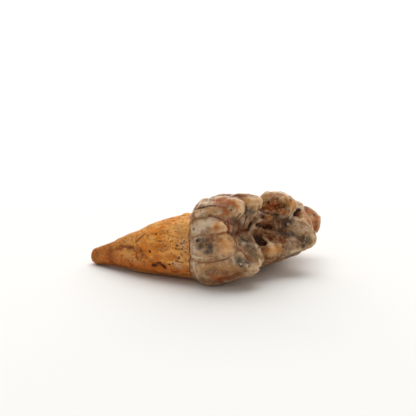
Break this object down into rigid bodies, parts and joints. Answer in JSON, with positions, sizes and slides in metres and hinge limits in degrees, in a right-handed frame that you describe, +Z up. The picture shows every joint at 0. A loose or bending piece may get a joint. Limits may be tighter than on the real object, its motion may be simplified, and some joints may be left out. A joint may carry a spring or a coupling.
{
  "type": "fossil cave bear tooth",
  "caption": "Fossil bear cheek tooth lying on its side: a low enamel crown of rounded worn cusps on tapering roots.",
  "frame": {"origin": "middle of the tooth's box, at the bottom, on the surface that it lies on", "axes": "+X from the root tips to the cusps, +Y along the crown from its hind end to its front end, +Z up"},
  "size_m": [0.0378, 0.0288, 0.0159],
  "materials": {
    "fossil_tooth": "satin"
  },
  "bodies": {
    "root": {"cave_bear_molar": "fossil_tooth"}
  },
  "joints": []
}
